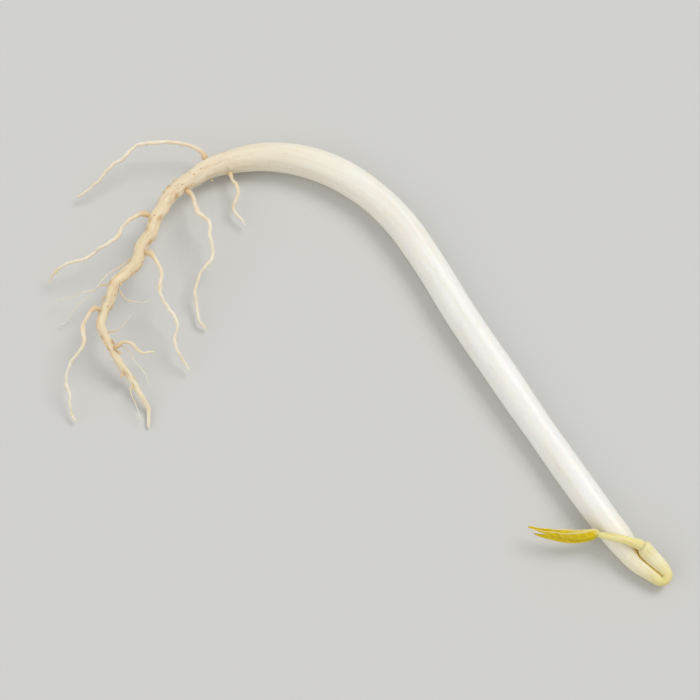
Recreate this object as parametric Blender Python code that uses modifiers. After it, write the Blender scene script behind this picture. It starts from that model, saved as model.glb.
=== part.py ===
"""One mung bean sprout lying on a table.

The stem, its hooked head and the taproot grew in one piece and are one object. The shoot, the two young
leaves and each side root are objects of their own. All dimensions are in millimetres, measured from the tip
of the hook, and are turned to metres where the objects are made. +X runs towards the head, +Z is up.
"""

import math

import bmesh
import bpy
import numpy as np

MM = 0.001
NAME = "mung_bean_sprout"

# The middle of the sprout's footprint, seen from the tip of the hook. It becomes the origin.
FOOTPRINT_MIDDLE = np.array([-26.46, 20.56, 0.0])

# The head's own axes: back along the stem, and across it towards the side that the hook is folded on.
STEM_SLOPE = math.radians(125.2)
HEAD_BACK = np.array([math.cos(STEM_SLOPE), math.sin(STEM_SLOPE), 0.0])
HEAD_ACROSS = np.array([math.sin(STEM_SLOPE), -math.cos(STEM_SLOPE), 0.0])
STEM_AXIS_ACROSS = -0.84

# How many radii apart a tube's rings stand, and how many extra edges each quarter of its section has.
STEM_RING_SPACING = 0.65
FINE_RING_SPACING = 3.5
STEM_BEVEL_RESOLUTION = 6
FINE_BEVEL_RESOLUTION = 2

# Back from the tip, across the stem, up, radius. From the seed-leaf scar round the hook to the stem.
HOOK = [
    (3.80, 0.98, 2.10, 0.62),
    (3.30, 1.02, 1.86, 0.60),
    (2.60, 1.17, 1.52, 0.57),
    (1.80, 1.33, 1.31, 0.54),
    (1.15, 1.42, 1.20, 0.50),
    (0.64, 1.30, 1.13, 0.44),
    (0.42, 0.94, 1.03, 0.42),
    (0.62, 0.58, 0.95, 0.44),
    (1.12, 0.38, 0.90, 0.50),
    (1.80, 0.18, 0.89, 0.57),
    (2.60, -0.06, 0.92, 0.66),
    (3.40, -0.16, 0.97, 0.79),
    (4.20, -0.09, 1.04, 0.98),
    (5.20, -0.01, 1.09, 1.18),
    (7.00, 0.00, 1.13, 1.25),
]

# X, Y, up, radius. The stem bends a little more at its root end, and the taproot curls over and down.
STEM = [
    (-9.95, 13.30, 1.22, 1.34),
    (-13.45, 19.00, 1.27, 1.39),
    (-16.85, 24.60, 1.29, 1.41),
    (-19.60, 29.60, 1.31, 1.43),
    (-21.90, 33.20, 1.33, 1.45),
    (-24.80, 36.30, 1.33, 1.45),
    (-28.30, 38.60, 1.33, 1.45),
    (-32.10, 39.80, 1.30, 1.42),
]
TAPROOT = [
    (-35.80, 39.80, 1.30, 1.22),
    (-39.00, 38.75, 1.50, 0.94),
    (-41.60, 36.65, 2.00, 0.74),
    (-43.40, 33.95, 2.75, 0.63),
    (-44.20, 30.95, 3.45, 0.57),
    (-45.40, 28.05, 3.90, 0.53),
    (-47.20, 25.55, 3.85, 0.47),
    (-47.85, 22.65, 3.20, 0.40),
    (-47.00, 19.95, 2.20, 0.33),
    (-45.10, 17.95, 1.15, 0.27),
    (-44.00, 15.65, 0.40, 0.20),
    (-43.90, 14.05, 0.20, 0.12),
]

# Back from the tip, across the stem, up, radius. The shoot crosses over the stem and nearly touches it.
SHOOT = [
    (4.02, 0.84, 2.28, 0.30),
    (4.22, 0.50, 2.44, 0.30),
    (4.60, 0.10, 2.52, 0.30),
    (5.20, -0.42, 2.55, 0.29),
    (5.88, -0.98, 2.31, 0.27),
    (6.34, -1.32, 2.10, 0.25),
]

# The two leaves start together at the end of the shoot. Each lies on its side, folded along its midrib.
# The midrib is in X, Y, up. The angles go round the midrib from the front (0) over the top (90) to the back
# (180): the direction that the fold opens to, and how wide it gapes, each at the stalk and at the point.
LEAVES = {
    "first_leaf_upper": {
        "midrib": [
            (-5.74, 3.96, 2.12),
            (-6.10, 3.80, 2.10),
            (-6.60, 3.66, 2.05),
            (-7.40, 3.60, 1.98),
            (-8.40, 3.74, 1.90),
            (-9.60, 4.06, 1.86),
            (-10.70, 4.42, 1.87),
            (-11.50, 4.74, 1.92),
        ],
        "opens_towards": (166.0, 102.0),
        "gape": (24.0, 50.0),
    },
    "first_leaf_lower": {
        "midrib": [
            (-5.72, 3.90, 1.84),
            (-6.10, 3.71, 1.78),
            (-6.60, 3.56, 1.71),
            (-7.40, 3.47, 1.62),
            (-8.40, 3.52, 1.53),
            (-9.50, 3.79, 1.44),
            (-10.40, 4.05, 1.41),
            (-11.05, 4.28, 1.41),
        ],
        "opens_towards": (198.0, 150.0),
        "gape": (22.0, 38.0),
    },
}
LEAF_HALF_WIDTH = 0.86
LEAF_THICKNESS = 0.12
LEAF_STALK_SHARE = 0.2
LEAF_WIDEST_AT = 0.28
LEAF_FULLNESS = 0.85
LEAF_POINT_HALF_WIDTH = 0.06
LEAF_RIB_SPACING = 0.2
LEAF_LENGTH_STEPS = 14
LEAF_WIDTH_STEPS = 4

# X, Y, up, radius of each side root, from just off the taproot outwards.
SIDE_ROOTS = [
    [
        (-39.80, 39.90, 1.95, 0.20),
        (-42.20, 40.70, 2.60, 0.18),
        (-45.10, 40.35, 2.90, 0.17),
        (-47.50, 38.95, 2.50, 0.16),
        (-49.20, 37.15, 1.70, 0.14),
        (-51.30, 36.05, 0.80, 0.10),
    ],
    [
        (-40.75, 35.70, 2.35, 0.20),
        (-40.10, 33.85, 2.90, 0.19),
        (-38.90, 32.05, 2.95, 0.17),
        (-38.70, 29.65, 2.40, 0.16),
        (-39.90, 27.65, 1.70, 0.15),
        (-40.10, 25.35, 1.00, 0.13),
        (-39.10, 23.35, 0.40, 0.10),
    ],
    [
        (-44.65, 33.25, 3.20, 0.20),
        (-46.15, 32.25, 3.60, 0.18),
        (-47.40, 30.45, 3.70, 0.17),
        (-49.40, 29.15, 3.10, 0.16),
        (-51.80, 28.75, 2.10, 0.14),
        (-53.30, 27.45, 1.10, 0.10),
    ],
    [
        (-44.20, 29.05, 4.10, 0.19),
        (-43.10, 27.55, 4.25, 0.18),
        (-42.90, 25.25, 3.90, 0.16),
        (-41.70, 23.25, 3.00, 0.15),
        (-41.60, 21.05, 1.90, 0.13),
        (-40.40, 19.35, 0.80, 0.10),
    ],
    [
        (-48.45, 23.85, 3.85, 0.19),
        (-49.40, 22.55, 3.95, 0.18),
        (-49.60, 20.45, 3.40, 0.16),
        (-50.80, 18.65, 2.40, 0.14),
        (-50.90, 16.45, 1.30, 0.12),
        (-50.10, 14.65, 0.50, 0.09),
    ],
    [
        (-46.60, 20.65, 2.85, 0.16),
        (-45.70, 20.85, 2.95, 0.14),
        (-44.60, 20.25, 2.60, 0.13),
        (-43.40, 20.55, 2.10, 0.09),
    ],
    [
        (-37.25, 37.95, 1.30, 0.17),
        (-36.60, 36.65, 1.60, 0.16),
        (-36.90, 34.95, 1.20, 0.14),
        (-36.00, 33.35, 0.50, 0.09),
    ],
]

COLOURS = {
    "stem_white": (0.87, 0.84, 0.76, 1.0),
    "shoot_cream": (0.82, 0.74, 0.36, 1.0),
    "leaf_yellow": (0.66, 0.50, 0.01, 1.0),
    "root_cream": (0.78, 0.66, 0.45, 1.0),
}
ROUGHNESS = {
    "stem_white": 0.35,
    "shoot_cream": 0.40,
    "leaf_yellow": 0.50,
    "root_cream": 0.60,
}


def clear_scene():
    for thing in list(bpy.data.objects):
        bpy.data.objects.remove(thing)


def plant_material(slot, node_name):
    """A Principled material of this slot's colour and roughness, named for the object that wears it."""
    material = bpy.data.materials.new(f"{slot}_{node_name}")
    material.use_nodes = True
    shader = material.node_tree.nodes["Principled BSDF"]
    shader.inputs["Base Color"].default_value = COLOURS[slot]
    shader.inputs["Roughness"].default_value = ROUGHNESS[slot]
    shader.inputs["Metallic"].default_value = 0.0
    return material


def from_head(points):
    """Points given back along, across and up from the hook's tip, as X, Y, up."""
    placed = []
    for back, across, up, radius in points:
        spot = back * HEAD_BACK + (across + STEM_AXIS_ACROSS) * HEAD_ACROSS
        placed.append((spot[0], spot[1], up, radius))
    return placed


def smooth_route(points, spacing):
    """A smooth curve through all the points: cubic spans whose slopes come from the neighbouring points.

    The last column is a radius, and the steps along a span are about spacing radii long.
    """
    points = np.array(points)
    spans = np.linalg.norm(np.diff(points[:, :3], axis=0), axis=1)
    knots = np.concatenate([[0.0], np.cumsum(spans)])
    slopes = np.gradient(points, knots, axis=0)
    route = []
    for first, span in enumerate(spans):
        mean_radius = (points[first, -1] + points[first + 1, -1]) / 2
        steps = max(2, math.ceil(span / (spacing * mean_radius)))
        for t in np.arange(steps) / steps:
            route.append(
                (2 * t**3 - 3 * t**2 + 1) * points[first]
                + (t**3 - 2 * t**2 + t) * span * slopes[first]
                + (3 * t**2 - 2 * t**3) * points[first + 1]
                + (t**3 - t**2) * span * slopes[first + 1]
            )
    route.append(points[-1])
    return np.array(route)


def tube(node_name, slot, points, ring_spacing, bevel_resolution, collection):
    """A round tube of changing radius along a smooth route, as a curve object."""
    route = smooth_route(points, ring_spacing)
    places = (route[:, :3] - FOOTPRINT_MIDDLE) * MM
    radii = route[:, 3] * MM
    curve = bpy.data.curves.new(node_name, "CURVE")
    curve.dimensions = "3D"
    curve.twist_mode = "Z_UP"
    curve.bevel_depth = radii.max()
    curve.bevel_resolution = bevel_resolution
    curve.use_fill_caps = True
    spline = curve.splines.new("POLY")
    spline.points.add(len(places) - 1)
    for point, place, radius in zip(spline.points, places, radii):
        point.co = (*place, 1.0)
        point.radius = radius / curve.bevel_depth
    piece = bpy.data.objects.new(node_name, curve)
    collection.objects.link(piece)
    curve.materials.append(plant_material(slot, node_name))
    return piece


def press_flat(piece):
    """Turns a tube into a mesh and flattens its underside where it would sink into the table."""
    evaluated = piece.evaluated_get(bpy.context.evaluated_depsgraph_get())
    mesh = bpy.data.meshes.new_from_object(evaluated)
    form = bmesh.new()
    form.from_mesh(mesh)
    bmesh.ops.remove_doubles(form, verts=form.verts, dist=0.001 * MM)
    for vertex in form.verts:
        vertex.co.z = max(vertex.co.z, 0.0)
    form.to_mesh(mesh)
    form.free()
    node_name = piece.name
    collection = piece.users_collection[0]
    bpy.data.objects.remove(piece)
    pressed = bpy.data.objects.new(node_name, mesh)
    collection.objects.link(pressed)
    mesh.shade_smooth()
    return pressed


def leaf_half_width(share):
    """Half the unfolded blade's width at this share of its length. It is widest near the stalk."""
    peak_power = math.log(0.5) / math.log(LEAF_WIDEST_AT)
    lance = math.sin(math.pi * share**peak_power) ** LEAF_FULLNESS if 0 < share < 1 else 0.0
    stalk = LEAF_STALK_SHARE * (1 - share)
    return max(LEAF_HALF_WIDTH * (stalk + (1 - stalk) * lance), LEAF_POINT_HALF_WIDTH)


def leaf(node_name, shape, collection):
    """A young leaf: a lance-shaped blade folded along its midrib, turning towards its point."""
    midrib = [(*spot, LEAF_HALF_WIDTH) for spot in shape["midrib"]]
    route = smooth_route(midrib, LEAF_RIB_SPACING)[:, :3]
    picks = np.linspace(0, len(route) - 1, LEAF_LENGTH_STEPS + 1)
    columns = [np.interp(picks, np.arange(len(route)), route[:, axis]) for axis in range(3)]
    spine = np.stack(columns, axis=1)
    along = np.gradient(spine, axis=0)
    along /= np.linalg.norm(along, axis=1)[:, None]
    front = np.cross([0.0, 0.0, 1.0], along)
    front /= np.linalg.norm(front, axis=1)[:, None]
    top = np.cross(along, front)
    form = bmesh.new()
    rows = []
    for step in range(LEAF_LENGTH_STEPS + 1):
        share = step / LEAF_LENGTH_STEPS
        half_width = leaf_half_width(share)
        middle = np.interp(share, (0, 1), shape["opens_towards"])
        gape = np.interp(share, (0, 1), shape["gape"])
        row = []
        for place in np.linspace(-1, 1, LEAF_WIDTH_STEPS + 1):
            angle = math.radians(middle - np.sign(place) * gape / 2)
            outward = math.cos(angle) * front[step] + math.sin(angle) * top[step]
            spot = spine[step] + abs(place) * half_width * outward
            row.append(form.verts.new((spot - FOOTPRINT_MIDDLE) * MM))
        rows.append(row)
    for near, far in zip(rows, rows[1:]):
        for left in range(LEAF_WIDTH_STEPS):
            form.faces.new((near[left], far[left], far[left + 1], near[left + 1]))
    mesh = bpy.data.meshes.new(node_name)
    form.to_mesh(mesh)
    form.free()
    mesh.shade_smooth()
    piece = bpy.data.objects.new(node_name, mesh)
    collection.objects.link(piece)
    blade = piece.modifiers.new("blade", "SOLIDIFY")
    blade.thickness = LEAF_THICKNESS * MM
    blade.offset = 0.0
    piece.modifiers.new("triangles", "TRIANGULATE")
    mesh.materials.append(plant_material("leaf_yellow", node_name))


def main():
    clear_scene()
    collection = bpy.data.collections.new(NAME)
    bpy.context.scene.collection.children.link(collection)
    whole_route = from_head(HOOK) + STEM + TAPROOT
    press_flat(
        tube(
            "stem_with_taproot",
            "stem_white",
            whole_route,
            STEM_RING_SPACING,
            STEM_BEVEL_RESOLUTION,
            collection,
        )
    )
    fine = (FINE_RING_SPACING, FINE_BEVEL_RESOLUTION, collection)
    tube("shoot", "shoot_cream", from_head(SHOOT), *fine)
    for node_name, shape in LEAVES.items():
        leaf(node_name, shape, collection)
    for number, side_root in enumerate(SIDE_ROOTS, start=1):
        tube(f"side_root_{number}", "root_cream", side_root, *fine)


main()
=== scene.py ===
import math

import bpy
import numpy as np
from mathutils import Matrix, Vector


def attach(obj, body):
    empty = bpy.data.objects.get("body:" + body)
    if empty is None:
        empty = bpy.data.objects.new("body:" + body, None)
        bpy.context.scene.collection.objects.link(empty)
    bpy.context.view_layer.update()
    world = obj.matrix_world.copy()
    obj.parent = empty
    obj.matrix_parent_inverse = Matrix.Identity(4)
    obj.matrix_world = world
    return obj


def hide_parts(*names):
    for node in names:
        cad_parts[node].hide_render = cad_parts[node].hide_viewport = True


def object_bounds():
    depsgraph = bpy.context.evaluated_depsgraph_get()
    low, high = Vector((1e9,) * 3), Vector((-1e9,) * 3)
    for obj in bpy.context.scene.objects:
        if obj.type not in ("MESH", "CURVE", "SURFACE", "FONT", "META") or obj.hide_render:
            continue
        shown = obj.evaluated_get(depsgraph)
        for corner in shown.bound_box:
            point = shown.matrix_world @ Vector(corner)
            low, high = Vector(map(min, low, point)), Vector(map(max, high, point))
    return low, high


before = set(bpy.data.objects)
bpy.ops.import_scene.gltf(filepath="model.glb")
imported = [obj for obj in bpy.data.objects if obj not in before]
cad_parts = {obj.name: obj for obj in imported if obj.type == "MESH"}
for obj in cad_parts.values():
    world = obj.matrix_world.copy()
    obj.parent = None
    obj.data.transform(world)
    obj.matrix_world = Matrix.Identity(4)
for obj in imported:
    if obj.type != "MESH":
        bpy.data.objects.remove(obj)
cad_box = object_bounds()

# A mung bean sprout on a pale table. Its routes are the frame's own, in millimetres from the tip of the hook.
# They are turned to metres from the middle of the footprint where a mesh is made.

MM = 0.001
FOOTPRINT_MIDDLE = np.array([-26.46, 20.56, 0.0])
STEM_SLOPE = math.radians(125.2)
HEAD_BACK = np.array([math.cos(STEM_SLOPE), math.sin(STEM_SLOPE), 0.0])
HEAD_ACROSS = np.array([math.sin(STEM_SLOPE), -math.cos(STEM_SLOPE), 0.0])
STEM_AXIS_ACROSS = -0.84

# Back from the tip, across the stem, up, radius: from the seed-leaf scar round the hook to the stem.
HOOK = [
    (3.86, 0.94, 2.12, 0.64),
    (3.30, 0.97, 1.86, 0.69),
    (2.60, 1.10, 1.52, 0.69),
    (1.80, 1.24, 1.30, 0.67),
    (1.13, 1.34, 1.18, 0.60),
    (0.60, 1.28, 1.10, 0.49),
    (0.38, 0.94, 1.02, 0.42),
    (0.56, 0.60, 0.95, 0.46),
    (1.08, 0.44, 0.92, 0.57),
    (1.80, 0.25, 0.91, 0.67),
    (2.60, 0.01, 0.93, 0.76),
    (3.40, -0.11, 0.98, 0.86),
    (4.20, -0.08, 1.04, 1.00),
    (5.20, -0.01, 1.09, 1.18),
    (7.00, 0.00, 1.13, 1.25),
]
STEM = [
    (-9.95, 13.30, 1.22, 1.34),
    (-13.45, 19.00, 1.27, 1.39),
    (-16.85, 24.60, 1.29, 1.41),
    (-19.60, 29.60, 1.31, 1.43),
    (-21.90, 33.20, 1.33, 1.45),
    (-24.80, 36.30, 1.33, 1.45),
    (-28.30, 38.60, 1.33, 1.45),
    (-32.10, 39.80, 1.30, 1.42),
]
TAPROOT = [
    (-35.80, 39.80, 1.30, 1.22),
    (-39.00, 38.75, 1.50, 0.94),
    (-41.60, 36.65, 2.00, 0.74),
    (-43.40, 33.95, 2.75, 0.63),
    (-44.20, 30.95, 3.45, 0.57),
    (-45.40, 28.05, 3.90, 0.53),
    (-47.20, 25.55, 3.85, 0.47),
    (-47.85, 22.65, 3.20, 0.40),
    (-47.00, 19.95, 2.20, 0.33),
    (-45.10, 17.95, 1.15, 0.27),
    (-44.00, 15.65, 0.40, 0.20),
    (-43.90, 14.05, 0.20, 0.12),
]
SHOOT = [
    (3.10, 1.02, 1.78, 0.40),
    (3.62, 0.86, 2.08, 0.47),
    (3.98, 0.63, 2.29, 0.45),
    (4.28, 0.36, 2.43, 0.39),
    (4.64, 0.06, 2.52, 0.35),
    (5.20, -0.42, 2.55, 0.31),
    (5.88, -0.98, 2.31, 0.28),
    (6.34, -1.32, 2.10, 0.26),
    (6.60, -1.52, 2.04, 0.22),
]

# The top of the taproot's arch, which nothing stands above.
HIGHEST = 4.5

# Stations along the sprout, in millimetres from the seed-leaf scar.
HOOK_TIP_AT = 4.0
NECK_AT = 8.5
COLLAR_AT = 58.0
ROOT_AT = 65.0


# ---------------------------------------------------------------- shapes

# Points worked out on a curve before it is cut into stations, and the least radius that sets their spacing.
CURVE_POINTS = 6000
LEAST_SPACING_RADIUS = 0.05

# The share of a bend's radius that the skin inside the bend may fill, and the gentlest bend that counts.
BEND_FILL = 0.88
GENTLEST_BEND = 0.001

# How near a kinked wave's phase comes to a sharp corner, and how high the wave is then.
KINK_SHARPNESS = 0.88
KINK_HEIGHT = 1.08


def from_head(points):
    """Points given back along, across and up from the hook's tip, as X, Y, up and radius."""
    back, across, up, radius = np.array(points).T
    spots = back[:, None] * HEAD_BACK + (across[:, None] + STEM_AXIS_ACROSS) * HEAD_ACROSS
    return np.column_stack([spots[:, :2], up, radius])


def smooth_curve(points):
    """Cubic spans through all the points, whose slopes are those of parabolas through three neighbours."""
    points = np.asarray(points, float)
    spans = np.linalg.norm(np.diff(points[:, :3], axis=0), axis=1)
    knots = np.concatenate([[0.0], np.cumsum(spans)])
    slopes = np.gradient(points, knots, axis=0)
    place = np.linspace(0.0, knots[-1], CURVE_POINTS)
    span = np.clip(np.searchsorted(knots, place, side="right") - 1, 0, len(spans) - 1)
    length = spans[span][:, None]
    t = (place - knots[span])[:, None] / length
    return (
        (2 * t**3 - 3 * t**2 + 1) * points[span]
        + (t**3 - 2 * t**2 + t) * length * slopes[span]
        + (3 * t**2 - 2 * t**3) * points[span + 1]
        + (t**3 - t**2) * length * slopes[span + 1]
    )


def stations(curve, spacing):
    """The curve in steps of spacing times its radius there, with the distance along it as a fifth column."""
    steps = np.linalg.norm(np.diff(curve[:, :3], axis=0), axis=1)
    distance = np.concatenate([[0.0], np.cumsum(steps)])
    mean_radius = (curve[1:, 3] + curve[:-1, 3]) / 2
    step_counts = steps / (spacing * np.maximum(mean_radius, LEAST_SPACING_RADIUS))
    count = np.concatenate([[0.0], np.cumsum(step_counts)])
    wanted = np.linspace(0.0, count[-1], int(count[-1]) + 2)
    table = np.column_stack([curve, distance])
    return np.column_stack([np.interp(wanted, count, column) for column in table.T])


def directions(spots):
    """Unit vectors along the curve, level to its left, and square to both."""
    along = np.gradient(spots, axis=0)
    along /= np.linalg.norm(along, axis=1)[:, None]
    sideways = np.cross([0.0, 0.0, 1.0], along)
    sideways /= np.linalg.norm(sideways, axis=1)[:, None]
    return along, sideways, np.cross(along, sideways)


def eased(spots, reach=8):
    """Each spot as a mean of the spots up to this many stations away, weighted by a bell."""
    weights = np.hanning(2 * reach + 3)[1:-1]
    weights /= weights.sum()
    padded = np.pad(spots, ((reach, reach), (0, 0)), mode="edge")
    return np.stack([np.convolve(column, weights, mode="valid") for column in padded.T], axis=1)


def angles_around(count):
    """One row of this many angles, evenly spaced over a full turn."""
    return (np.arange(count) * 2 * np.pi / count)[None]


def rings(route, reach):
    """Points around the curve: the spot plus reach times cosine sideways plus reach times sine upwards."""
    _, sideways, upwards = directions(route[:, :3])
    angle = angles_around(reach.shape[1])[..., None]
    outward = np.cos(angle) * sideways[:, None] + np.sin(angle) * upwards[:, None]
    return route[:, None, :3] + reach[..., None] * outward


def kept_apart(skin, spots):
    """Flattens the inner side of each bend, so that neighbouring rings don't cross there.

    A ring's points stop at a share of the distance from its middle to the centre that the route turns about.
    """
    along, _, _ = directions(spots)
    steps = np.linalg.norm(np.gradient(spots, axis=0), axis=1)
    turn = np.gradient(along, axis=0) / steps[:, None]
    bend = np.maximum(np.linalg.norm(turn, axis=1), GENTLEST_BEND)[:, None]
    inward = (turn / bend)[:, None]
    over = ((skin - spots[:, None]) * inward).sum(axis=2) - BEND_FILL / bend
    return skin - np.clip(over, 0.0, None)[..., None] * inward


def straightened(route, around):
    """Each point's place on the straightened tube: distance along, radius times cosine and times sine."""
    angle = angles_around(around)
    distance = np.repeat(route[:, 4:5], around, axis=1)
    return np.stack([distance, route[:, 3:4] * np.cos(angle), route[:, 3:4] * np.sin(angle)], axis=-1)


def ripples(places, wavelengths, seed, wave=np.sin):
    """Irregular waves from about -1 to 1: one wave of each length, each in a random direction and phase."""
    random = np.random.default_rng(seed)
    total = np.zeros(places.shape[:-1])
    for wavelength in wavelengths:
        heading = random.normal(size=places.shape[-1])
        heading /= np.linalg.norm(heading)
        total += wave(places @ heading * 2 * np.pi / wavelength + random.uniform(0, 2 * np.pi))
    return total / math.sqrt(len(wavelengths))


def kinked(phase):
    """A wave of straight flanks and tight turns: the angle whose sine is a share of the phase's sine."""
    return np.arcsin(KINK_SHARPNESS * np.sin(phase)) / KINK_HEIGHT


def wandering(distance, wavelengths, seed, wave=np.sin):
    """A drift in X, Y and Z, one column each, that changes with the distance along a route."""
    return np.stack([ripples(distance[:, None], wavelengths, seed + k, wave) for k in range(3)], axis=1)


def rise(value, low, high):
    """0 below low, 1 above high, and a smooth S between."""
    t = np.clip((value - low) / (high - low), 0.0, 1.0)
    return t * t * (3 - 2 * t)


def rounded_ends(distance, start, end):
    """A factor that takes a tube's radius to nothing over start and end, as a squarish dome does."""
    near = np.clip(distance / start, 0.0, 1.0)
    far = np.clip((distance[-1] - distance) / end, 0.0, 1.0)
    return ((1 - (1 - near) ** 3) * (1 - (1 - far) ** 2)) ** 0.5


def tube_faces(rows, around, offset):
    """Quads between neighbouring rings and a fan of triangles at each end, facing outwards."""
    row = np.arange(rows - 1)[:, None] * around
    here = np.arange(around)[None, :]
    there = (here + 1) % around
    quads = np.stack([row + here, row + there, row + around + there, row + around + here], axis=-1)
    first_pole = np.full(around, rows * around)
    last = (rows - 1) * around
    start = np.stack([first_pole, there[0], here[0]], axis=-1)
    end = np.stack([first_pole + 1, last + here[0], last + there[0]], axis=-1)
    return (quads.reshape(-1, 4) + offset).tolist() + (start + offset).tolist() + (end + offset).tolist()


def with_poles(grid):
    """A grid of rings as one list of points. The first and last ring only give their middles, as poles."""
    listed = grid[1:-1].reshape((grid.shape[0] - 2) * grid.shape[1], -1)
    poles = np.stack([grid[0].mean(axis=0), grid[-1].mean(axis=0)]).reshape(2, -1)
    return np.concatenate([listed, poles])


def solid(name, tubes, material, fields):
    """One mesh of closed tubes, in metres at the origin, with each field's values at the tubes' points."""
    faces, offset = [], 0
    for tube in tubes:
        rows, around = tube.shape[0] - 2, tube.shape[1]
        faces += tube_faces(rows, around, offset)
        offset += rows * around + 2
    spots = np.concatenate([with_poles(tube) for tube in tubes])
    spots[:, 2] = np.maximum(spots[:, 2], 0.0)
    mesh = bpy.data.meshes.new(name)
    mesh.from_pydata(((spots - FOOTPRINT_MIDDLE) * MM).tolist(), [], faces)
    for field, per_tube in fields.items():
        values = np.concatenate([with_poles(value) for value in per_tube])
        kind, slot = ("FLOAT_VECTOR", "vector") if values.shape[1] == 3 else ("FLOAT", "value")
        mesh.attributes.new(field, kind, "POINT").data.foreach_set(slot, values.ravel())
    mesh.materials.append(material)
    mesh.shade_smooth()
    mesh.update()
    piece = bpy.data.objects.new(name, mesh)
    bpy.context.scene.collection.objects.link(piece)
    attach(piece, "root")
    return piece


# ---------------------------------------------------------------- materials

# The Mix node's colour sockets share their names with others, so they are found by their places.
MIX_SHARE, MIX_UNDER, MIX_OVER, MIX_RESULT = 0, 6, 7, 2


def linear(code):
    """An sRGB hex colour as linear red, green, blue and an alpha of 1."""
    parts = [int(code[start : start + 2], 16) / 255 for start in (1, 3, 5)]
    return (*[c / 12.92 if c <= 0.04045 else ((c + 0.055) / 1.055) ** 2.4 for c in parts], 1.0)


def add(tree, kind, inputs=None, **settings):
    """A new node with its settings, and each input linked to a socket or set to a value."""
    made = tree.nodes.new(kind)
    for key, value in settings.items():
        setattr(made, key, value)
    for socket, value in (inputs or {}).items():
        if isinstance(value, bpy.types.NodeSocket):
            tree.links.new(value, made.inputs[socket])
        else:
            made.inputs[socket].default_value = value
    return made


def new_material(name, settings):
    """A material, its nodes and its shader, whose settings are the same all over the surface."""
    material = bpy.data.materials.new(name)
    material.use_nodes = True
    tree = material.node_tree
    shader = tree.nodes["Principled BSDF"]
    for socket, value in settings.items():
        shader.inputs[socket].default_value = value
    return material, tree, shader


def streaks(tree, place, stretch, detail, roughness=0.5):
    """A pattern drawn out along a piece. The stretch says how many spots fit in a millimetre each way."""
    drawn_out = add(tree, "ShaderNodeMapping", {"Vector": place, "Scale": stretch})
    look = {"Vector": drawn_out.outputs[0], "Scale": 1.0, "Detail": detail, "Roughness": roughness}
    return add(tree, "ShaderNodeTexNoise", look).outputs[0]


def laid_on(tree, under, code, share, heights=None, shares=None, where=None, way="MIX"):
    """A colour laid on the one under it by its share.

    A pattern is first turned to a share: from its low and high heights to a low and a high share. Where is
    how far the colour shows at each place on the piece.
    """
    if heights:
        spread = {"From Min": heights[0], "From Max": heights[1], "To Min": shares[0], "To Max": shares[1]}
        share = add(tree, "ShaderNodeMapRange", {"Value": share, **spread}).outputs[0]
    if where is not None:
        share = add(tree, "ShaderNodeMath", {0: share, 1: where}, operation="MULTIPLY").outputs[0]
    inputs = {MIX_SHARE: share, MIX_UNDER: under, MIX_OVER: linear(code)}
    return add(tree, "ShaderNodeMix", inputs, data_type="RGBA", blend_type=way).outputs[MIX_RESULT]


def cover(tree, shader, colour, height, strength, depth):
    """Joins a colour to the shader, and a fine relief of this depth in millimetres."""
    relief = {"Strength": strength, "Distance": depth * MM, "Height": height}
    tree.links.new(colour, shader.inputs["Base Color"])
    tree.links.new(add(tree, "ShaderNodeBump", relief).outputs[0], shader.inputs["Normal"])


# The skin's colours, at stations in millimetres from the seed-leaf scar to the root's tip.
SPROUT_LENGTH = 92.7
SKIN_COLOURS = [
    (0.0, "#F1E5AA"),
    (0.9, "#F5EBBC"),
    (1.8, "#F8F1CE"),
    (HOOK_TIP_AT, "#EDDF94"),
    (5.8, "#F6EDC8"),
    (NECK_AT, "#F7F2E2"),
    (13.0, "#FAF8F3"),
    (34.0, "#FBF9F4"),
    (50.0, "#FAF5EA"),
    (COLLAR_AT, "#F6EDD9"),
    (ROOT_AT, "#F2E4C8"),
    (73.0, "#EEDDBB"),
    (85.0, "#F0E0C0"),
    (SPROUT_LENGTH, "#F4E8D0"),
]


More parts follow.
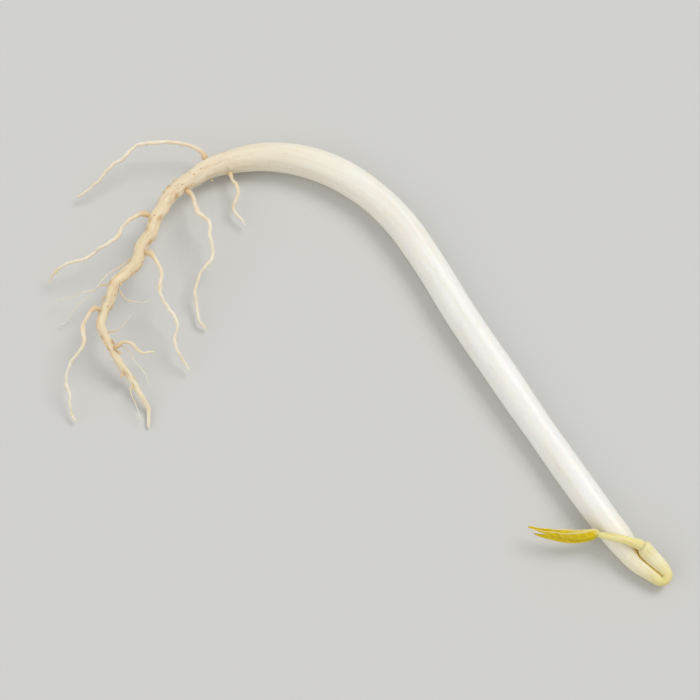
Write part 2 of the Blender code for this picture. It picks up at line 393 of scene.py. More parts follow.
def sprout_skin():
    """Skin of a shoot grown in the dark: a clear, smooth skin over white watery flesh.

    Light goes more than half a millimetre into it. It turns butter yellow at the hook, cream at the collar,
    and tan and dull on the root, where the skin is scuffed and rubbed along its length.
    """
    material, tree, shader = new_material(
        "dark_grown_sprout_skin",
        {
            "Subsurface Weight": 0.55,
            "Subsurface Radius": (1.0, 0.86, 0.66),
            "Subsurface Scale": 0.6 * MM,
            "IOR": 1.40,
            "Coat Weight": 0.12,
            "Coat Roughness": 0.2,
        },
    )
    along, knots, crease_shade, rooty = (
        add(tree, "ShaderNodeAttribute", attribute_name=field).outputs["Fac"]
        for field in ("along", "knots", "crease_shade", "rooty")
    )
    straight = add(tree, "ShaderNodeAttribute", attribute_name="straight").outputs["Vector"]

    place = add(tree, "ShaderNodeMath", {0: along, 1: SPROUT_LENGTH}, operation="DIVIDE").outputs[0]
    skin = add(tree, "ShaderNodeValToRGB", {"Fac": place})
    stops = skin.color_ramp.elements
    while len(stops) < len(SKIN_COLOURS):
        stops.new(0.5)
    for stop, (station, code) in zip(stops, SKIN_COLOURS):
        stop.position = station / SPROUT_LENGTH
        stop.color = linear(code)
    colour = skin.outputs[0]

    # Flesh a little greyer or warmer in long patches, 5 mm by 1 mm.
    patches = streaks(tree, straight, (0.2, 0.9, 0.9), 3.0)
    colour = laid_on(tree, colour, "#E4E0D2", patches, (0.40, 0.75), (0.0, 0.22), way="MULTIPLY")
    # Vessel strands show through as faint long lines, 0.3 mm apart and several millimetres long.
    strands = streaks(tree, straight, (0.12, 3.4, 3.4), 2.0)
    colour = laid_on(tree, colour, "#E3DFCB", strands, (0.50, 0.75), (0.0, 0.30), way="MULTIPLY")
    # Painted shade: a deeper, darker yellow laid in the crease where the hook's limbs touch.
    colour = laid_on(tree, colour, "#E8CB60", crease_shade)
    # A few tan flecks, up to 0.15 mm wide and 0.7 mm long, where the skin was rubbed.
    fleck_space = add(tree, "ShaderNodeMapping", {"Vector": straight, "Scale": (0.35, 1.6, 1.6)})
    flecks = add(tree, "ShaderNodeTexVoronoi", {"Vector": fleck_space.outputs[0], "Scale": 1.0})
    colour = laid_on(tree, colour, "#D9BE8C", flecks.outputs["Distance"], (0.05, 0.13), (0.35, 0.0))
    # Scuffed brown streaks on the root, 0.4 mm by 2 mm.
    scuffs = streaks(tree, straight, (0.5, 2.4, 2.4), 6.0, 0.65)
    colour = laid_on(tree, colour, "#C8A06A", scuffs, (0.50, 0.70), (0.0, 0.60), where=rooty)
    # Brown skin on the knots where side roots broke off.
    colour = laid_on(tree, colour, "#BE9259", knots, where=0.8)
    # Small brown pits, up to 0.2 mm wide, where hair roots came out.
    pits = add(tree, "ShaderNodeTexVoronoi", {"Vector": straight, "Scale": 1.5}).outputs["Distance"]
    colour = laid_on(tree, colour, "#B5824C", pits, (0.07, 0.15), (0.75, 0.0), where=rooty)

    # The stem is glossy and the root is dull.
    bark = {"Value": rooty, "From Min": 0.0, "From Max": 1.0}
    dullness = add(tree, "ShaderNodeMapRange", {**bark, "To Min": 0.36, "To Max": 0.66}).outputs[0]
    tree.links.new(dullness, shader.inputs["Roughness"])
    # Long skin cells, 0.05 mm wide. They are drawn three times as wide, so that they show, and stand out as
    # fibres on the root.
    cells = streaks(tree, straight, (1.2, 7.0, 7.0), 4.0)
    strength = add(tree, "ShaderNodeMapRange", {**bark, "To Min": 0.35, "To Max": 1.0}).outputs[0]
    cover(tree, shader, colour, cells, strength, 0.05)
    return material


def young_leaf():
    """A first leaf that saw almost no light: thin, soft and deep yellow, with a paler edge and veins."""
    material, tree, shader = new_material(
        "young_yellow_leaf",
        {
            "Roughness": 0.42,
            "Subsurface Weight": 0.6,
            "Subsurface Radius": (1.0, 0.8, 0.05),
            "Subsurface Scale": 0.2 * MM,
            "IOR": 1.42,
        },
    )
    edge, veins, stalk, point = (
        add(tree, "ShaderNodeAttribute", attribute_name=field).outputs["Fac"]
        for field in ("edge", "veins", "stalk", "point")
    )
    straight = add(tree, "ShaderNodeAttribute", attribute_name="straight").outputs["Vector"]
    # Mottled in spots 0.5 mm wide, where more or less of the yellow has formed.
    spots = {"Vector": straight, "Scale": 2.2, "Detail": 4.0, "Roughness": 0.6}
    mottle = add(tree, "ShaderNodeTexNoise", spots).outputs[0]
    colour = laid_on(tree, linear("#E8D200"), "#D8BC00", mottle, (0.35, 0.7), (0.0, 1.0))
    colour = laid_on(tree, colour, "#EAD61E", veins)
    colour = laid_on(tree, colour, "#EFDC92", edge)
    colour = laid_on(tree, colour, "#EFE4A4", stalk)
    colour = laid_on(tree, colour, "#C49A3C", point)
    # Cells 0.02 mm wide, drawn 0.07 mm wide, so that they show.
    cells = add(tree, "ShaderNodeTexNoise", {"Vector": straight, "Scale": 14.0, "Detail": 3.0})
    cover(tree, shader, colour, cells.outputs[0], 0.4, 0.03)
    return material


def young_shoot():
    """The short shoot above the seed leaves: the same clear skin, pale yellow-green, with faint long ribs."""
    material, tree, shader = new_material(
        "pale_young_shoot",
        {
            "Roughness": 0.34,
            "Subsurface Weight": 0.8,
            "Subsurface Radius": (1.0, 0.85, 0.4),
            "Subsurface Scale": 0.6 * MM,
            "IOR": 1.40,
        },
    )
    straight = add(tree, "ShaderNodeAttribute", attribute_name="straight").outputs["Vector"]
    under = add(tree, "ShaderNodeAttribute", attribute_name="under").outputs["Fac"]
    # Ribs of cells 0.17 mm apart and 2 mm long.
    ribs = streaks(tree, straight, (0.5, 6.0, 6.0), 3.0)
    colour = laid_on(tree, linear("#F0E6AC"), "#E3D586", ribs, (0.4, 0.7), (0.0, 1.0))
    # Painted shade: a deeper yellow laid on the side of the shoot that faces down.
    colour = laid_on(tree, colour, "#DBC76A", under)
    cover(tree, shader, colour, ribs, 0.3, 0.03)
    return material


def root_thread():
    """A side root: a soft translucent cream thread, browner where it left the taproot and where scuffed."""
    material, tree, shader = new_material(
        "side_root_skin",
        {
            "Roughness": 0.5,
            "Subsurface Weight": 0.6,
            "Subsurface Radius": (1.0, 0.8, 0.55),
            "Subsurface Scale": 0.4 * MM,
            "IOR": 1.40,
        },
    )
    straight = add(tree, "ShaderNodeAttribute", attribute_name="straight").outputs["Vector"]
    bark = add(tree, "ShaderNodeAttribute", attribute_name="bark").outputs["Fac"]
    # Scuffed in spots 0.25 mm wide and 1.2 mm long.
    scuffs = streaks(tree, straight, (0.8, 4.0, 4.0), 5.0, 0.6)
    colour = laid_on(tree, linear("#F6EAD6"), "#EAD4B0", scuffs, (0.42, 0.72), (0.0, 0.9))
    colour = laid_on(tree, colour, "#DCBE90", bark)
    cover(tree, shader, colour, scuffs, 0.5, 0.03)
    return material


# ---------------------------------------------------------------- stem, hook and taproot

STEM_AROUND = 72
STEM_SPACING = 0.125

# The dome at the hook's end: its length on its steep side, how much it gains a quarter turn from there, and
# the angle at which it is steepest. The root's tip is rounded over its length.
HOOK_DOME = 0.42
HOOK_DOME_SLANT = 0.4
HOOK_DOME_TURN = 0.5
ROOT_TIP_LENGTH = 0.5

# Stretches of the sprout over which something sets in, as stations in millimetres. The last is counted back
# from the root's tip.
RELIEF_BEGINS = (NECK_AT - 2.0, NECK_AT + 4.0)
BARK_BEGINS = (COLLAR_AT - 2.0, ROOT_AT + 2.0)
STRAY_BEGINS = (ROOT_AT - 2.0, ROOT_AT + 5.0)
STRAY_ENDS = (0.5, 4.0)

# Waves are given as their lengths in millimetres and a seed.
# How far the taproot strays from its route, in millimetres: kinks, and a finer waver.
KINK, KINK_WAVES = 0.16, ([8.0, 5.3, 3.7], 11)
WAVER, WAVER_WAVES = 0.05, ([2.6, 1.9, 1.3], 51)

# Relief of the stem's skin as shares of its radius: slow swellings, ridges that twist a little, and dents.
SWELLING, SWELLING_WAVES = 0.013, ([31.0, 19.0, 12.5, 8.7], 3)
RIDGE, RIDGE_COUNT, RIDGE_TWIST, RIDGE_TWIST_WAVES = 0.010, 6, 0.9, ([40.0, 23.0], 4)
DENT, DENT_WAVES, DENT_STRETCH = 0.005, ([3.2, 2.4, 1.7, 1.3, 2.0], 6), [0.5, 1.0, 1.0]

# Relief of the root's skin as shares of its radius: furrows that twist, flats with sharp edges, and wrinkles.
FURROW, FURROW_COUNT, FURROW_TWIST, FURROW_TWIST_WAVES = 0.035, 3, 2.0, ([13.0, 7.0], 8)
FLAT, FLAT_WAVES, FLAT_STRETCH = 0.065, ([3.1, 2.3, 1.8, 1.4, 1.1], 9), [0.8, 1.0, 1.0]
WRINKLE, WRINKLE_WAVES, WRINKLE_STRETCH = 0.02, ([0.9, 0.7, 0.55, 0.8, 0.6], 10), [0.5, 1.5, 1.5]

# The taproot's knots stand in four rows, where side roots grow. Their sizes are in millimetres.
KNOT_SEED = 5
KNOT_COUNT = 30
KNOTS_FROM = COLLAR_AT + 2.5
KNOTS_SHORT_OF_TIP = 5.0
KNOT_LIMIT = 1.2
KNOT_HEIGHT = 0.12
KNOT_LENGTHS = (0.14, 0.34)
KNOT_WIDTHS = (0.10, 0.22)
KNOT_ROOT_RADIUS = 0.6
ROOT_ROW_TURN = 0.6
ROOT_ROW_SCATTER = 0.2

# The hook's two limbs: places further apart than this along the sprout are on different limbs. They keep this
# clearance, and the painted shade in the crease fades out between these two gaps.
LIMBS_APART = 1.7
LIMB_CLEARANCE = 0.02
CREASE_SHADE_FADE = (-0.02, 0.22)


def root_rows(random, count):
    """Angles around the taproot, scattered about its four rows, which stand a quarter turn apart."""
    row = random.integers(0, 4, count) * np.pi / 2
    turn = row + ROOT_ROW_TURN + random.normal(0, ROOT_ROW_SCATTER, count)
    return (turn + np.pi) % (2 * np.pi) - np.pi


def bumps(places, at, turn, length, width, radius):
    """Soft round swellings of height 1: a bell of this length and width at each place and angle on a tube."""
    around = np.arctan2(places[..., 2], places[..., 1])[..., None]
    swing = (around - turn + np.pi) % (2 * np.pi) - np.pi
    bells = np.exp(-(((places[..., 0, None] - at) / length) ** 2) - (swing * radius / width) ** 2)
    return bells.sum(axis=-1)


def limb_gap(skin, route, near, far):
    """How far each point of the near limb's skin is from the far limb's surface, less than 0 inside it.

    Stations that are close together along the sprout belong to the same limb, so they don't count.
    """
    axis = route[far][::2]
    gap = np.linalg.norm(skin[near][:, :, None] - axis[None, None, :, :3], axis=-1) - axis[:, 3]
    same_limb = np.abs(route[near, 4][:, None] - axis[None, :, 4]) < LIMBS_APART
    return np.where(same_limb[:, None, :], np.inf, gap).min(axis=2)


def press_limbs(skin, route):
    """Flattens the two limbs of the hook on each other. Each gives way by half of where they overlap.

    Returns how deep each point lies in the crease between them, as the share of painted shade laid there: 1
    where they touch, 0 outside.
    """
    tip = int(np.searchsorted(route[:, 4], HOOK_TIP_AT))
    neck = int(np.searchsorted(route[:, 4], NECK_AT))
    limbs = ((slice(0, tip), slice(tip, neck)), (slice(tip, neck), slice(0, tip)))
    gaps = [limb_gap(skin, route, near, far) for near, far in limbs]
    crease_shade = np.zeros(skin.shape[:2])
    for (near, _), gap in zip(limbs, gaps):
        give = np.clip(LIMB_CLEARANCE - gap, 0.0, None) / 2
        inward = route[near, None, :3] - skin[near]
        inward /= np.maximum(np.linalg.norm(inward, axis=2), 0.01)[..., None]
        skin[near] += give[..., None] * inward
        crease_shade[near] = 1 - rise(gap, *CREASE_SHADE_FADE)
    return crease_shade


def stray_root(route):
    """Moves the taproot's middle line off its route in straight runs with sharp turns, eased a little."""
    distance = route[:, 4]
    slack = rise(distance, *STRAY_BEGINS) * rise(distance[-1] - distance, *STRAY_ENDS)
    stray = KINK * wandering(distance, *KINK_WAVES, kinked)
    stray += WAVER * wandering(distance, *WAVER_WAVES)
    route[:, :3] += stray * slack[:, None]
    route[:, :3] += (eased(route[:, :3]) - route[:, :3]) * slack[:, None]


def root_knots(places):
    """How high the knots stand where side roots broke off or never grew: 1 at the top of one."""
    random = np.random.default_rng(KNOT_SEED)
    at = random.uniform(KNOTS_FROM, places[-1, 0, 0] - KNOTS_SHORT_OF_TIP, KNOT_COUNT)
    turn = root_rows(random, KNOT_COUNT)
    length = random.uniform(*KNOT_LENGTHS, KNOT_COUNT)
    width = random.uniform(*KNOT_WIDTHS, KNOT_COUNT)
    return np.clip(bumps(places, at, turn, length, width, KNOT_ROOT_RADIUS), 0.0, KNOT_LIMIT)


def stem_relief(distance, places, angle, rooty):
    """Relief of the skin, as a share of its radius.

    The stem has slow swellings, six soft long ridges and faint dents. The hook has only the dents. The root
    has three furrows, flats and wrinkles. Ridges and furrows are cosines of the angle, twisted by waves.
    """
    past_neck = rise(distance, *RELIEF_BEGINS)
    swelling = ripples(distance, *SWELLING_WAVES)[:, None]
    ridges = np.cos(RIDGE_COUNT * angle + RIDGE_TWIST * ripples(distance, *RIDGE_TWIST_WAVES)[:, None])
    dents = ripples(places * DENT_STRETCH, *DENT_WAVES)
    smooth_part = past_neck * (SWELLING * swelling + RIDGE * ridges) + DENT * dents
    furrows = np.cos(FURROW_COUNT * angle + FURROW_TWIST * ripples(distance, *FURROW_TWIST_WAVES)[:, None])
    flats = ripples(places * FLAT_STRETCH, *FLAT_WAVES, kinked)
    wrinkles = 1 - 2 * np.abs(ripples(places * WRINKLE_STRETCH, *WRINKLE_WAVES))
    rough_part = FURROW * furrows + FLAT * flats + WRINKLE * wrinkles
    return (1 - rooty) * smooth_part + rooty * rough_part


def make_stem(material):
    """The hook, stem and taproot as one skin.

    Its reach from the middle line is the route's radius times one plus the relief, plus the root's knots. At
    the hook's end it closes in a dome that slants towards the shoot. Returns the middle line.
    """
    route = stations(smooth_curve(np.concatenate([from_head(HOOK), STEM, TAPROOT])), STEM_SPACING)
    distance = route[:, 4:5]
    places = straightened(route, STEM_AROUND)
    angle = angles_around(STEM_AROUND)
    rooty = rise(distance, *BARK_BEGINS)
    stray_root(route)
    knots = root_knots(places)
    reach = route[:, 3:4] * (1 + stem_relief(distance, places, angle, rooty))
    reach += KNOT_HEIGHT * knots * rooty
    dome = HOOK_DOME + HOOK_DOME_SLANT * (1 - np.cos(angle - HOOK_DOME_TURN))
    reach *= rounded_ends(distance, dome, ROOT_TIP_LENGTH)
    skin = kept_apart(rings(route, reach), route[:, :3])
    # How much painted shade the crease between the limbs gets.
    crease_shade = press_limbs(skin, route)
    ones = np.ones((1, STEM_AROUND))
    fields = {
        "along": [distance * ones],
        "straight": [places],
        "knots": [np.clip(knots, 0, 1) * rooty],
        "crease_shade": [crease_shade],
        "rooty": [rooty * ones],
    }
    piece = solid("sprout_stem_and_taproot", [skin], material, fields)
    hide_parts("stem_with_taproot")
    return route


# ---------------------------------------------------------------- shoot and leaves

SHOOT_AROUND = 48
SHOOT_SPACING = 0.10
SHOOT_END = 0.2
SHOOT_RIB, SHOOT_RIB_COUNT, SHOOT_RIB_TWIST, SHOOT_RIB_TWIST_WAVES = 0.05, 5, 0.5, ([3.0, 2.1], 20)
SHOOT_RIBS_BEGIN = (0.8, 2.2)
SHOOT_LUMP, SHOOT_LUMP_WAVES = 0.03, ([1.4, 0.9, 0.7, 0.5], 21)

# The sine of the angle below the shoot's side at which its painted shade, a deeper yellow on the side facing
# down, begins and is full.
SHOOT_UNDERSIDE_SHADE = (-0.2, 0.9)


def make_shoot(material):
    """The short shoot: a thread with five soft ribs that leaves the hook's end and crosses over the stem."""
    route = stations(smooth_curve(from_head(SHOOT)), SHOOT_SPACING)
    distance = route[:, 4:5]
    angle = angles_around(SHOOT_AROUND)
    places = straightened(route, SHOOT_AROUND)
    twist = SHOOT_RIB_TWIST * ripples(distance, *SHOOT_RIB_TWIST_WAVES)[:, None]
    ribs = np.cos(SHOOT_RIB_COUNT * angle + twist)
    ribbed = rise(distance, *SHOOT_RIBS_BEGIN)
    lumps = ripples(places, *SHOOT_LUMP_WAVES)
    reach = route[:, 3:4] * (1 + SHOOT_RIB * ribs * ribbed + SHOOT_LUMP * lumps)
    reach *= rounded_ends(distance, SHOOT_END, SHOOT_END)
    # Painted shade on the shoot's downward-facing side.
    under = rise(-np.sin(angle), *SHOOT_UNDERSIDE_SHADE) * np.ones_like(reach)
    fields = {"straight": [places], "under": [under]}
    piece = solid("young_shoot", [rings(route, reach)], material, fields)
    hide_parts("shoot")


# Each leaf's midrib in X, Y, up; the direction its fold opens to, and how wide it gapes, at stalk and point.
# The angles go round the midrib from the front (0) over the top (90) to the back (180).
LEAVES = {
    "first_leaf_upper": {
        "midrib": [
            (-5.36, 3.93, 2.11),
            (-5.74, 3.96, 2.12),
            (-6.10, 3.80, 2.10),
            (-6.60, 3.66, 2.05),
            (-7.40, 3.60, 1.98),
            (-8.40, 3.74, 1.90),
            (-9.60, 4.06, 1.86),
            (-10.70, 4.42, 1.87),
            (-11.50, 4.74, 1.92),
        ],
        "opens_towards": (166.0, 102.0),
        "gape": (24.0, 50.0),
        "seed": 31,
    },
    "first_leaf_lower": {
        "midrib": [
            (-5.34, 3.89, 2.00),
            (-5.72, 3.90, 1.84),
            (-6.10, 3.71, 1.78),
            (-6.60, 3.56, 1.71),
            (-7.40, 3.47, 1.62),
            (-8.40, 3.52, 1.53),
            (-9.50, 3.79, 1.44),
            (-10.40, 4.05, 1.41),
            (-11.05, 4.28, 1.41),
        ],
        "opens_towards": (198.0, 150.0),
        "gape": (22.0, 38.0),
        "seed": 32,
    },
}

LEAF_AROUND = 96
LEAF_SPACING = 0.05

# Sizes in millimetres.
LEAF_HALF_WIDTH = 0.84
LEAF_LEAST_HALF_WIDTH = 0.03
LEAF_THICKNESS = 0.09
FOLD_RADIUS = 0.05
RUFFLE, RUFFLE_WAVES, RUFFLE_LENGTH = 0.075, [3.4, 2.1, 1.4], 6.0
PUCKER = 0.008
PATTERN_DEPTH = 0.1

# A blade narrower than this is thinned and creased less, so that its tip is sharp.
FINE_BELOW = 0.15

# Shares of the leaf's length, and how full its outline is.
LEAF_STALK_SHARE = 0.2
LEAF_WIDEST_AT = 0.28
LEAF_BEGINS = (0.0, 0.09)
RUFFLES_BEGIN = (0.05, 0.3)
STALK_COLOUR_ENDS = (0.03, 0.11)
POINT_COLOUR_BEGINS = (0.93, 1.0)
LEAF_FULLNESS = 0.85

# Each half of the blade has slanting veins, whose width is a share of the step from one to the next.
LEAF_VEINS = 9
VEIN_SLANT = 0.8
VEIN_WIDTH = 0.13
VEIN_SWELL, RIB_SWELL = 0.5, 0.8
VEIN_PALENESS, RIB_PALENESS = 0.7, 0.8

# Shares of the leaf's half width. The fold's depth is the root of its bluntness.
VEINS_BEGIN = (0.04, 0.2)
RIB_WIDTH = 0.07
FOLD_WIDTH = 0.1
FOLD_BLUNTNESS = 0.004
FOLD_DEPTH = 0.063
EDGE_AT_STALK = (0.64, 0.84)
EDGE_AT_POINT = (0.90, 1.00)


def make_leaf(name, look, material):
    """A blade folded along its midrib like a half-open book, lance-shaped along its length.

    Across runs from -1 at one edge through 0 at the fold to 1 at the other, and back on the other face. The
    section is a hyperbola, whose arms are the two halves of the blade. Its edges ruffle, slanting veins stand
    proud of it, and it turns about the midrib from stalk to point.
    """
    route = stations(smooth_curve([(*spot, LEAF_HALF_WIDTH) for spot in look["midrib"]]), LEAF_SPACING)
    distance = route[:, 4:5]
    share = distance / distance[-1]
    angle = angles_around(LEAF_AROUND)
    across, face = np.cos(angle), np.sin(angle)
    lance = np.sin(np.pi * share ** (math.log(0.5) / math.log(LEAF_WIDEST_AT))) ** LEAF_FULLNESS
    lance *= rise(share, *LEAF_BEGINS)
    stalk = LEAF_STALK_SHARE * (1 - share)
    width = np.maximum(LEAF_HALF_WIDTH * (stalk + (1 - stalk) * lance), LEAF_LEAST_HALF_WIDTH)
    turn = np.radians(look["opens_towards"][0] + share * np.diff(look["opens_towards"]))
    half_gape = np.radians(look["gape"][0] + share * np.diff(look["gape"])) / 2

    # Veins, rib and ruffles.
    slant = share * LEAF_VEINS - VEIN_SLANT * np.abs(across)
    vein = np.exp(-((((slant % 1.0) - 0.5) / VEIN_WIDTH) ** 2)) * rise(np.abs(across), *VEINS_BEGIN)
    rib = np.exp(-((across / RIB_WIDTH) ** 2))
    side = np.sign(across) * np.ones_like(share)
    along_edge = np.stack([share * RUFFLE_LENGTH * np.ones_like(across), side], axis=-1)
    ruffle = RUFFLE * ripples(along_edge, RUFFLE_WAVES, look["seed"]) * rise(share, *RUFFLES_BEGIN)

    # The section's middle line, and its slope across, which the two faces stand square to.
    fineness = np.minimum(1.0, width / FINE_BELOW)
    arm = np.sqrt(across**2 + FOLD_BLUNTNESS)
    out = width * np.cos(half_gape) * (arm - FOLD_DEPTH)
    open_way = width * np.sin(half_gape) * across
    open_way += fineness * FOLD_RADIUS * np.tanh(across / FOLD_WIDTH)
    open_way += ruffle * across**2 + PUCKER * np.sin(2 * np.pi * slant)
    slope_out = width * np.cos(half_gape) * across / arm
    slope_open = width * np.sin(half_gape)
    slope_open = slope_open + fineness * FOLD_RADIUS / FOLD_WIDTH / np.cosh(across / FOLD_WIDTH) ** 2
    steep = np.hypot(slope_out, slope_open)
    thick = LEAF_THICKNESS / 2 * (1 + RIB_SWELL * rib + VEIN_SWELL * vein) * fineness
    shell = np.sign(face) * np.abs(face) ** 0.5 * thick
    out = out + shell * slope_open / steep
    open_way = open_way - shell * slope_out / steep

    _, front, top = directions(route[:, :3])
    opening = np.cos(turn)[..., None] * front[:, None] + np.sin(turn)[..., None] * top[:, None]
    crossing = np.sin(turn)[..., None] * front[:, None] - np.cos(turn)[..., None] * top[:, None]
    blade = route[:, None, :3] + out[..., None] * opening + open_way[..., None] * crossing
    ones = np.ones_like(out)
    edge = [first + share * (last - first) for first, last in zip(EDGE_AT_STALK, EDGE_AT_POINT)]
    fields = {
        "edge": [rise(np.abs(across), *edge) * ones],
        "veins": [np.clip(VEIN_PALENESS * vein + RIB_PALENESS * rib, 0, 1) * ones],
        "stalk": [(1 - rise(share, *STALK_COLOUR_ENDS)) * ones],
        "point": [rise(share, *POINT_COLOUR_BEGINS) * ones],
        "straight": [np.stack([distance * ones, across * width, face * PATTERN_DEPTH * ones], axis=-1)],
    }
    piece = solid(name + "_blade", [blade], material, fields)
    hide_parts(name)


# ---------------------------------------------------------------- side roots

SIDE_ROOTS = [
    [
        (-39.80, 39.90, 1.95, 0.20),
        (-42.20, 40.70, 2.60, 0.18),
        (-45.10, 40.35, 2.90, 0.17),
        (-47.50, 38.95, 2.50, 0.16),
        (-49.20, 37.15, 1.70, 0.14),
        (-51.30, 36.05, 0.80, 0.10),
    ],
    [
        (-40.75, 35.70, 2.35, 0.20),
        (-40.10, 33.85, 2.90, 0.19),
        (-38.90, 32.05, 2.95, 0.17),
        (-38.70, 29.65, 2.40, 0.16),
        (-39.90, 27.65, 1.70, 0.15),
        (-40.10, 25.35, 1.00, 0.13),
        (-39.10, 23.35, 0.40, 0.10),
    ],
    [
        (-44.65, 33.25, 3.20, 0.20),
        (-46.15, 32.25, 3.60, 0.18),
        (-47.40, 30.45, 3.70, 0.17),
        (-49.40, 29.15, 3.10, 0.16),
        (-51.80, 28.75, 2.10, 0.14),
        (-53.30, 27.45, 1.10, 0.10),
    ],
    [
        (-44.20, 29.05, 4.10, 0.19),
        (-43.10, 27.55, 4.25, 0.18),
        (-42.90, 25.25, 3.90, 0.16),
        (-41.70, 23.25, 3.00, 0.15),
        (-41.60, 21.05, 1.90, 0.13),
        (-40.40, 19.35, 0.80, 0.10),
    ],
    [
        (-48.45, 23.85, 3.85, 0.19),
        (-49.40, 22.55, 3.95, 0.18),
        (-49.60, 20.45, 3.40, 0.16),
        (-50.80, 18.65, 2.40, 0.14),
        (-50.90, 16.45, 1.30, 0.12),
        (-50.10, 14.65, 0.50, 0.09),
    ],
    [
        (-46.60, 20.65, 2.85, 0.16),
        (-45.70, 20.85, 2.95, 0.14),
        (-44.60, 20.25, 2.60, 0.13),
        (-43.40, 20.55, 2.10, 0.09),
    ],
    [
        (-37.25, 37.95, 1.30, 0.17),
        (-36.60, 36.65, 1.60, 0.16),
        (-36.90, 34.95, 1.20, 0.14),
        (-36.00, 33.35, 0.50, 0.09),
    ],
]

THREAD_SPACING = 0.32
SIDE_ROOT_SEEDS = 100
SIDE_ROOT_AROUND = 20
SIDE_ROOT_STRAY = 0.13
SIDE_ROOT_DEPTH = 0.65

# A side root's shape: lengths in millimetres, and heights as shares of its radius. It gets loose of its route
# between two shares of its length, and its waver is a share of its kinks. It keeps clear of the table, and it
# stays some radii below the top of the arch.
THREAD_LOOSENS = (0.04, 0.3)
THREAD_KINK_WAVES = [6.5, 4.1, 2.7]
THREAD_WAVER, THREAD_WAVER_WAVES = 0.15, [1.3, 0.9]
THREAD_SWELLING, THREAD_SWELLING_WAVES = 0.13, [4.3, 2.9, 1.7]
THREAD_GRAIN, THREAD_GRAIN_WAVES, THREAD_GRAIN_STRETCH = 0.05, [0.9, 0.6, 0.45, 0.35], [1.0, 2.0, 2.0]
THREAD_COLLAR, THREAD_COLLAR_AT, THREAD_COLLAR_LENGTH = 0.4, 0.7, 0.3
THREAD_ENDS = (0.1, 0.3)
THREAD_CLEARANCE = 0.03
THREAD_HEADROOM = 1.6
BARK_LENGTH = 1.4

# Pegs are snapped-off side roots and fine ones are new. Lengths and radii in millimetres, least and most.
STUB_SEED, STUB_THREAD_SEEDS = 159, 700
PEG_COUNT, FINE_COUNT = 16, 7
STUBS_FROM, FINE_FROM, STUBS_SHORT_OF_TIP = ROOT_AT - 3.0, ROOT_AT + 6.0, 4.5
PEG_LENGTHS, FINE_LENGTHS = (0.15, 0.5), (2.0, 4.2)
PEG_RADII, FINE_RADII = (0.09, 0.15), (0.05, 0.07)
PEG_BEND, FINE_BEND = 0.25, 0.5
BEND_SHARES = [1.0, 1.0, 0.4]
FINE_STRAY = 0.16
FINE_DROOP = 0.3
STEEPEST_FALL = -0.3
FORWARD_LEAN = (0.2, 0.8)
UPWARD_SHARE = 0.5
STUB_START, STUB_EXTRA_LENGTH = 0.6, 0.4
STUB_TAPER = 0.4
STUB_SPOTS = 6
STUB_AROUND = 12
PEG_BARK = 0.8


def thread(points, seed, stray, around):
    """A side root's rings and fields: a tube that strays from its route in straight runs with sharp turns.

    It swells and thins along its length, and is thickened by a torn collar where it comes out of the taproot.
    """
    route = stations(smooth_curve(points), THREAD_SPACING)
    distance = route[:, 4]
    loose = stray * rise(distance / distance[-1], *THREAD_LOOSENS)[:, None]
    route[:, :3] += loose * wandering(distance, THREAD_KINK_WAVES, seed, kinked)
    route[:, :3] += THREAD_WAVER * loose * wandering(distance, THREAD_WAVER_WAVES, seed + 3)
    lowest = route[:, 3] + THREAD_CLEARANCE
    route[:, 2] = np.clip(route[:, 2], lowest, HIGHEST - THREAD_HEADROOM * route[:, 3])
    places = straightened(route, around)
    collar = np.exp(-(((distance - THREAD_COLLAR_AT) / THREAD_COLLAR_LENGTH) ** 2))[:, None]
    swelling = ripples(distance[:, None], THREAD_SWELLING_WAVES, seed + 6)[:, None]
    grain = ripples(places * THREAD_GRAIN_STRETCH, THREAD_GRAIN_WAVES, seed + 7)
    relief = THREAD_COLLAR * collar + THREAD_SWELLING * swelling + THREAD_GRAIN * grain
    reach = route[:, 3:4] * (1 + relief) * rounded_ends(distance, *THREAD_ENDS)[:, None]
    bark = np.exp(-((distance / BARK_LENGTH) ** 2))[:, None] * np.ones(around)
    return rings(route, reach), places, bark


def make_side_roots(trunk, material):
    """The seven long side roots, each begun inside the taproot."""
    for number, points in enumerate(SIDE_ROOTS, start=1):
        points = np.array(points)
        nearest = trunk[np.linalg.norm(trunk[:, :3] - points[0, :3], axis=1).argmin()]
        inside = points[0].copy()
        inside[:3] += (nearest[:3] - points[0, :3]) * SIDE_ROOT_DEPTH
        points = np.concatenate([[inside], points])
        tube, places, bark = thread(points, SIDE_ROOT_SEEDS * number, SIDE_ROOT_STRAY, SIDE_ROOT_AROUND)
        fields = {"straight": [places], "bark": [bark]}
        piece = solid(f"side_root_thread_{number}", [tube], material, fields)
        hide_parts(f"side_root_{number}")


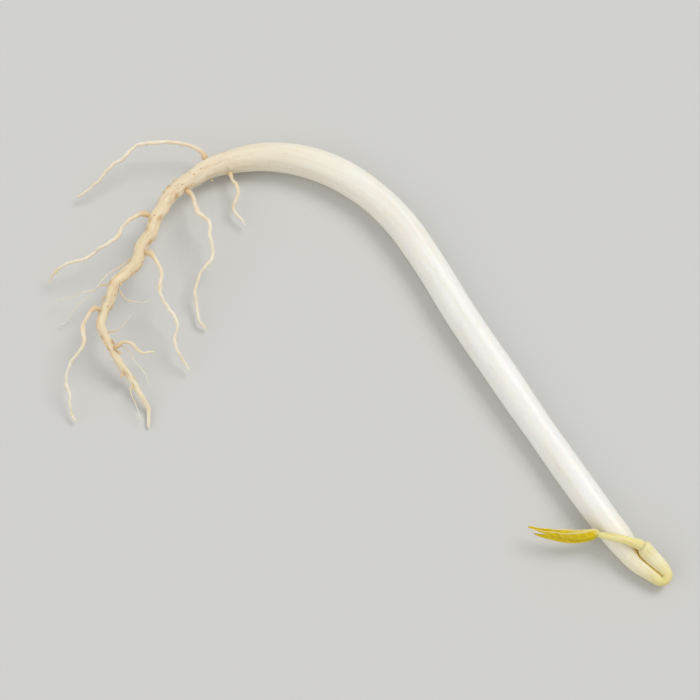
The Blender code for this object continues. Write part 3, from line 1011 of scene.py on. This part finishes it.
def make_stubs(trunk, material):
    """Snapped-off side roots on the taproot: short blunt pegs in its four rows, and a few fine new threads.

    Each leaves the taproot outwards and forwards, then bends by a random amount and droops if it is fine.
    """
    random = np.random.default_rng(STUB_SEED)
    count = PEG_COUNT + FINE_COUNT
    is_fine = random.permutation(np.arange(count) < FINE_COUNT)
    at = random.uniform(np.where(is_fine, FINE_FROM, STUBS_FROM), trunk[-1, 4] - STUBS_SHORT_OF_TIP)
    turns = root_rows(random, count)
    _, sideways, upwards = directions(trunk[:, :3])
    tubes, straight, bark = [], [], []
    for distance, turn, fine in zip(at, turns, is_fine):
        row = int(np.searchsorted(trunk[:, 4], distance))
        outward = math.cos(turn) * sideways[row] + UPWARD_SHARE * math.sin(turn) * upwards[row]
        forward = trunk[row + 1, :3] - trunk[row - 1, :3]
        heading = outward + random.uniform(*FORWARD_LEAN) * forward / np.linalg.norm(forward)
        heading[2] = max(heading[2], STEEPEST_FALL)
        heading /= np.linalg.norm(heading)
        length = random.uniform(*(FINE_LENGTHS if fine else PEG_LENGTHS))
        radius = random.uniform(*(FINE_RADII if fine else PEG_RADII))
        bend = random.normal(0, FINE_BEND if fine else PEG_BEND, 3) * BEND_SHARES
        bend[2] -= FINE_DROOP * fine
        start = trunk[row, :3] + outward * trunk[row, 3] * STUB_START
        reach = length + STUB_EXTRA_LENGTH * trunk[row, 3]
        steps = np.linspace(0, 1, STUB_SPOTS)[:, None]
        spots = start + steps * heading * reach + steps**2 * bend * length
        points = np.column_stack([spots, radius * (1 - STUB_TAPER * steps)])
        stray = FINE_STRAY if fine else 0.0
        tube, places, rind = thread(points, STUB_THREAD_SEEDS + row, stray, STUB_AROUND)
        tubes.append(tube)
        straight.append(places)
        bark.append(rind if fine else np.maximum(rind, PEG_BARK))
    piece = solid("root_stubs", tubes, material, {"straight": straight, "bark": bark})


# ---------------------------------------------------------------- table, light and camera

TABLE_HALF = 3.0
TABLE_DROP = 0.02 * MM

# Each light's name, the direction it comes from, its angle across, its strength and its colour.
LIGHTS = [
    ("key_light", (0.47, 0.37, 0.80), 32.0, 1.26, (1.0, 0.99, 0.97)),
    ("fill_light", (-0.72, -0.36, 0.59), 60.0, 0.62, (1.0, 0.94, 0.85)),
]
SKY_COLOUR = (0.97, 0.98, 1.0, 1.0)
SKY_STRENGTH = 0.55

CAMERA_ELEVATION = math.radians(68.0)
CAMERA_LENS = 100.0
CAMERA_SENSOR = 36.0
CAMERA_MARGIN = 1.13
CAMERA_NEAREST = 0.001


def make_table():
    """A matt pale table top, just under the sprout."""
    material, _, _ = new_material(
        "matt_pale_table", {"Base Color": linear("#D3D3D0"), "Roughness": 0.85}
    )
    mesh = bpy.data.meshes.new("table_top")
    corners = [(-1, -1), (1, -1), (1, 1), (-1, 1)]
    mesh.from_pydata([(x * TABLE_HALF, y * TABLE_HALF, -TABLE_DROP) for x, y in corners], [], [(0, 1, 2, 3)])
    mesh.materials.append(material)
    table = bpy.data.objects.new("table_top", mesh)
    bpy.context.scene.collection.objects.link(table)


def make_lights():
    """A big soft light from behind on the right, a broad warm one from the left, and a pale sky all round.

    The lights are far off, so the table is as bright in the distance as at the sprout, and its far edge is
    lost in the sky.
    """
    for name, (x, y, z), spread, strength, tint in LIGHTS:
        light = bpy.data.lights.new(name, "SUN")
        light.angle = math.radians(spread)
        light.energy = strength
        light.color = tint
        lamp = bpy.data.objects.new(name, light)
        lamp.rotation_euler = (math.atan2(math.hypot(x, y), z), 0.0, math.atan2(y, x) + math.pi / 2)
        bpy.context.scene.collection.objects.link(lamp)
    world = bpy.data.worlds.new("studio")
    world.use_nodes = True
    sky = world.node_tree.nodes["Background"]
    sky.inputs["Color"].default_value = SKY_COLOUR
    sky.inputs["Strength"].default_value = SKY_STRENGTH
    bpy.context.scene.world = world


def make_camera():
    """Looks down on the sprout, far enough back that its whole footprint fills the frame."""
    low, high = np.array(cad_box[0]), np.array(cad_box[1])
    middle = (low + high) / 2
    camera_data = bpy.data.cameras.new("camera")
    camera_data.lens = CAMERA_LENS
    camera_data.sensor_width = CAMERA_SENSOR
    camera_data.clip_start = CAMERA_NEAREST
    distance = CAMERA_MARGIN * (high[0] - low[0]) * CAMERA_LENS / CAMERA_SENSOR
    offset = np.array([0.0, -math.cos(CAMERA_ELEVATION), math.sin(CAMERA_ELEVATION)]) * distance
    camera = bpy.data.objects.new("camera", camera_data)
    camera.location = middle + offset
    camera.rotation_euler = (math.pi / 2 - CAMERA_ELEVATION, 0.0, 0.0)
    bpy.context.scene.collection.objects.link(camera)
    bpy.context.scene.camera = camera


bpy.context.scene.view_settings.view_transform = "Standard"
make_camera()
make_lights()
make_table()
trunk_route = make_stem(sprout_skin())
make_shoot(young_shoot())
leaf_material = young_leaf()
for leaf_name, leaf_look in LEAVES.items():
    make_leaf(leaf_name, leaf_look, leaf_material)
thread_material = root_thread()
make_side_roots(trunk_route, thread_material)
make_stubs(trunk_route, thread_material)
